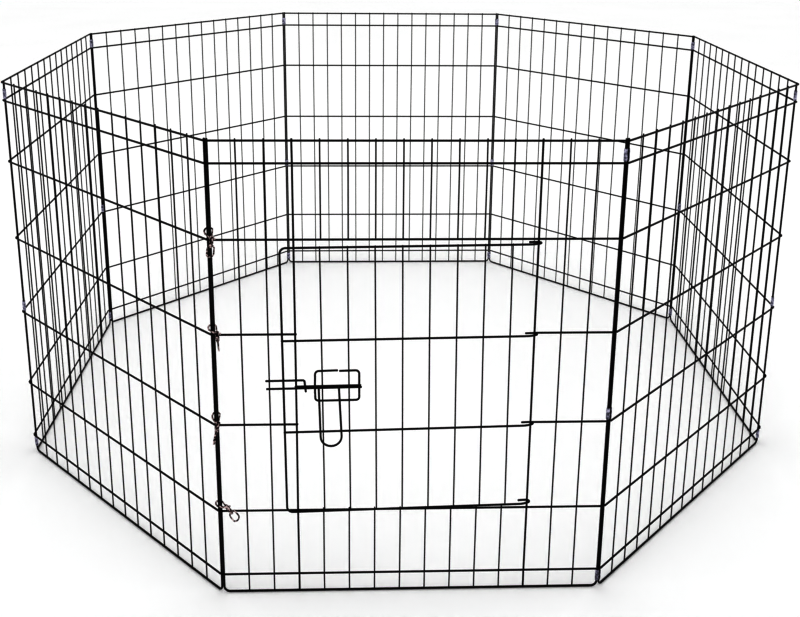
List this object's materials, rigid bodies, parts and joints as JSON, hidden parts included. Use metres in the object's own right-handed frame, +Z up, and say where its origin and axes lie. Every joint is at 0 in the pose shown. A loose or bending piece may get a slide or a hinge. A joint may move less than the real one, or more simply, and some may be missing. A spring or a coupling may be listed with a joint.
{
  "type": "pet playpen",
  "caption": "Octagonal folding wire exercise pen for pets, with a side-hung wire door, slide latch, rolled hinge clips and snap hooks at one corner.",
  "frame": {"origin": "centre of the pen's footprint, on the floor", "axes": "+Z up, -Y out through the door panel, +X to the right seen from in front of the door"},
  "size_m": [1.4954, 1.5261, 0.7629],
  "materials": {
    "black_coating": "satin black coating over steel wire",
    "zinc": "dull zinc-plated sheet",
    "dark_nickel": "darkened nickel plate"
  },
  "bodies": {
    "front_panel": {"front_frame": "black_coating", "front_grid": "black_coating"},
    "front_right_panel": {"front_right_frame": "black_coating", "front_right_grid": "black_coating", "clip_1_top": "zinc", "clip_1_middle": "zinc", "clip_1_bottom": "zinc"},
    "right_panel": {"right_frame": "black_coating", "right_grid": "black_coating", "clip_2_top": "zinc", "clip_2_middle": "zinc", "clip_2_bottom": "zinc"},
    "back_right_panel": {"back_right_frame": "black_coating", "back_right_grid": "black_coating", "clip_3_top": "zinc", "clip_3_middle": "zinc", "clip_3_bottom": "zinc"},
    "back_panel": {"back_frame": "black_coating", "back_grid": "black_coating", "clip_4_top": "zinc", "clip_4_middle": "zinc", "clip_4_bottom": "zinc"},
    "back_left_panel": {"back_left_frame": "black_coating", "back_left_grid": "black_coating", "clip_5_top": "zinc", "clip_5_middle": "zinc", "clip_5_bottom": "zinc"},
    "left_panel": {"left_frame": "black_coating", "left_grid": "black_coating", "clip_6_top": "zinc", "clip_6_middle": "zinc", "clip_6_bottom": "zinc"},
    "front_left_panel": {"front_left_frame": "black_coating", "front_left_grid": "black_coating", "clip_7_top": "zinc", "clip_7_middle": "zinc", "clip_7_bottom": "zinc"},
    "snap_1": {"snap_1_body": "dark_nickel"},
    "snap_1_plunger": {"snap_1_bolt": "dark_nickel"},
    "snap_1_swivel": {"snap_1_eye": "dark_nickel"},
    "snap_2": {"snap_2_body": "dark_nickel"},
    "snap_2_plunger": {"snap_2_bolt": "dark_nickel"},
    "snap_2_swivel": {"snap_2_eye": "dark_nickel"},
    "snap_3": {"snap_3_body": "dark_nickel"},
    "snap_3_plunger": {"snap_3_bolt": "dark_nickel"},
    "snap_3_swivel": {"snap_3_eye": "dark_nickel"},
    "snap_4": {"snap_4_body": "dark_nickel"},
    "snap_4_plunger": {"snap_4_bolt": "dark_nickel"},
    "snap_4_swivel": {"snap_4_eye": "dark_nickel"},
    "door": {"door": "black_coating", "latch_guide": "black_coating"},
    "bolt": {"latch_bolt": "black_coating", "latch_handle": "black_coating"}
  },
  "joints": [
    {"name": "corner_1_fold", "type": "hinge", "parent": "front_panel", "child": "front_right_panel", "pos_m": [0.305, -0.72616, 0.3], "axis": [0, 0, 1], "range_deg": [-44, 44]},
    {"name": "corner_2_fold", "type": "hinge", "parent": "front_right_panel", "child": "right_panel", "pos_m": [0.74003, -0.2933, 0.3], "axis": [0, 0, 1], "range_deg": [-44, 44]},
    {"name": "corner_3_fold", "type": "hinge", "parent": "right_panel", "child": "back_right_panel", "pos_m": [0.74156, 0.3204, 0.3], "axis": [0, 0, 1], "range_deg": [-44, 44]},
    {"name": "corner_4_fold", "type": "hinge", "parent": "back_right_panel", "child": "back_panel", "pos_m": [0.3087, 0.75543, 0.3], "axis": [0, 0, 1], "range_deg": [-44, 44]},
    {"name": "corner_5_fold", "type": "hinge", "parent": "back_panel", "child": "back_left_panel", "pos_m": [-0.305, 0.75696, 0.3], "axis": [0, 0, 1], "range_deg": [-44, 44]},
    {"name": "corner_6_fold", "type": "hinge", "parent": "back_left_panel", "child": "left_panel", "pos_m": [-0.74003, 0.3241, 0.3], "axis": [0, 0, 1], "range_deg": [-44, 44]},
    {"name": "corner_7_fold", "type": "hinge", "parent": "left_panel", "child": "front_left_panel", "pos_m": [-0.74156, -0.2896, 0.3], "axis": [0, 0, 1], "range_deg": [-44, 44]},
    {"name": "snap_1_turn", "type": "hinge", "parent": "front_panel", "child": "snap_1", "pos_m": [-0.30685, -0.7254, 0.62106], "axis": [0, 0, 1], "range_deg": [-8, 8]},
    {"name": "snap_1_press", "type": "slide", "parent": "snap_1", "child": "snap_1_plunger", "axis": [-0.0064, -0.7313, -0.682], "range_m": [0, 0.004], "stiffness_N_per_m": 250, "springref_m": -0.004},
    {"name": "snap_1_eye_turn", "type": "hinge", "parent": "snap_1", "child": "snap_1_swivel", "pos_m": [-0.30165, -0.72544, 0.62106], "axis": [-0.0064, -0.7313, -0.682], "continuous": true},
    {"name": "snap_2_turn", "type": "hinge", "parent": "front_panel", "child": "snap_2", "pos_m": [-0.30685, -0.7254, 0.46665], "axis": [0, 0, 1], "range_deg": [-8, 8]},
    {"name": "snap_2_press", "type": "slide", "parent": "snap_2", "child": "snap_2_plunger", "axis": [0.1928, -0.8699, -0.454], "range_m": [0, 0.004], "stiffness_N_per_m": 250, "springref_m": -0.004},
    {"name": "snap_2_eye_turn", "type": "hinge", "parent": "snap_2", "child": "snap_2_swivel", "pos_m": [-0.30177, -0.72427, 0.46665], "axis": [0.1928, -0.8699, -0.454], "continuous": true},
    {"name": "snap_3_turn", "type": "hinge", "parent": "front_panel", "child": "snap_3", "pos_m": [-0.30685, -0.7254, 0.31826], "axis": [0, 0, 1], "range_deg": [-8, 8]},
    {"name": "snap_3_press", "type": "slide", "parent": "snap_3", "child": "snap_3_plunger", "axis": [-0.1448, -0.6533, -0.7431], "range_m": [0, 0.004], "stiffness_N_per_m": 250, "springref_m": -0.004},
    {"name": "snap_3_eye_turn", "type": "hinge", "parent": "snap_3", "child": "snap_3_swivel", "pos_m": [-0.30177, -0.72652, 0.31826], "axis": [-0.1448, -0.6533, -0.7431], "continuous": true},
    {"name": "snap_4_turn", "type": "hinge", "parent": "front_panel", "child": "snap_4", "pos_m": [-0.30685, -0.7254, 0.16386], "axis": [0, 0, 1], "range_deg": [-8, 8]},
    {"name": "snap_4_press", "type": "slide", "parent": "snap_4", "child": "snap_4_plunger", "axis": [0.637, -0.7199, -0.2756], "range_m": [0, 0.004], "stiffness_N_per_m": 250, "springref_m": -0.004},
    {"name": "snap_4_eye_turn", "type": "hinge", "parent": "snap_4", "child": "snap_4_swivel", "pos_m": [-0.30295, -0.72195, 0.16386], "axis": [0.637, -0.7199, -0.2756], "continuous": true},
    {"name": "door_hinge", "type": "hinge", "parent": "front_panel", "child": "door", "pos_m": [0.183, -0.7269, 0.37], "axis": [0, 0, 1], "range_deg": [0, 110]},
    {"name": "latch_slide", "type": "slide", "parent": "door", "child": "bolt", "axis": [0.9999, 0, 0.0157], "range_m": [0, 0.01]}
  ],
  "couplings": [
    {"joint": "corner_2_fold", "follows": "corner_1_fold", "ratio": -1},
    {"joint": "corner_3_fold", "follows": "corner_1_fold", "ratio": -1},
    {"joint": "corner_4_fold", "follows": "corner_1_fold", "ratio": 1},
    {"joint": "corner_5_fold", "follows": "corner_1_fold", "ratio": 1},
    {"joint": "corner_6_fold", "follows": "corner_1_fold", "ratio": -1},
    {"joint": "corner_7_fold", "follows": "corner_1_fold", "ratio": -1}
  ]
}
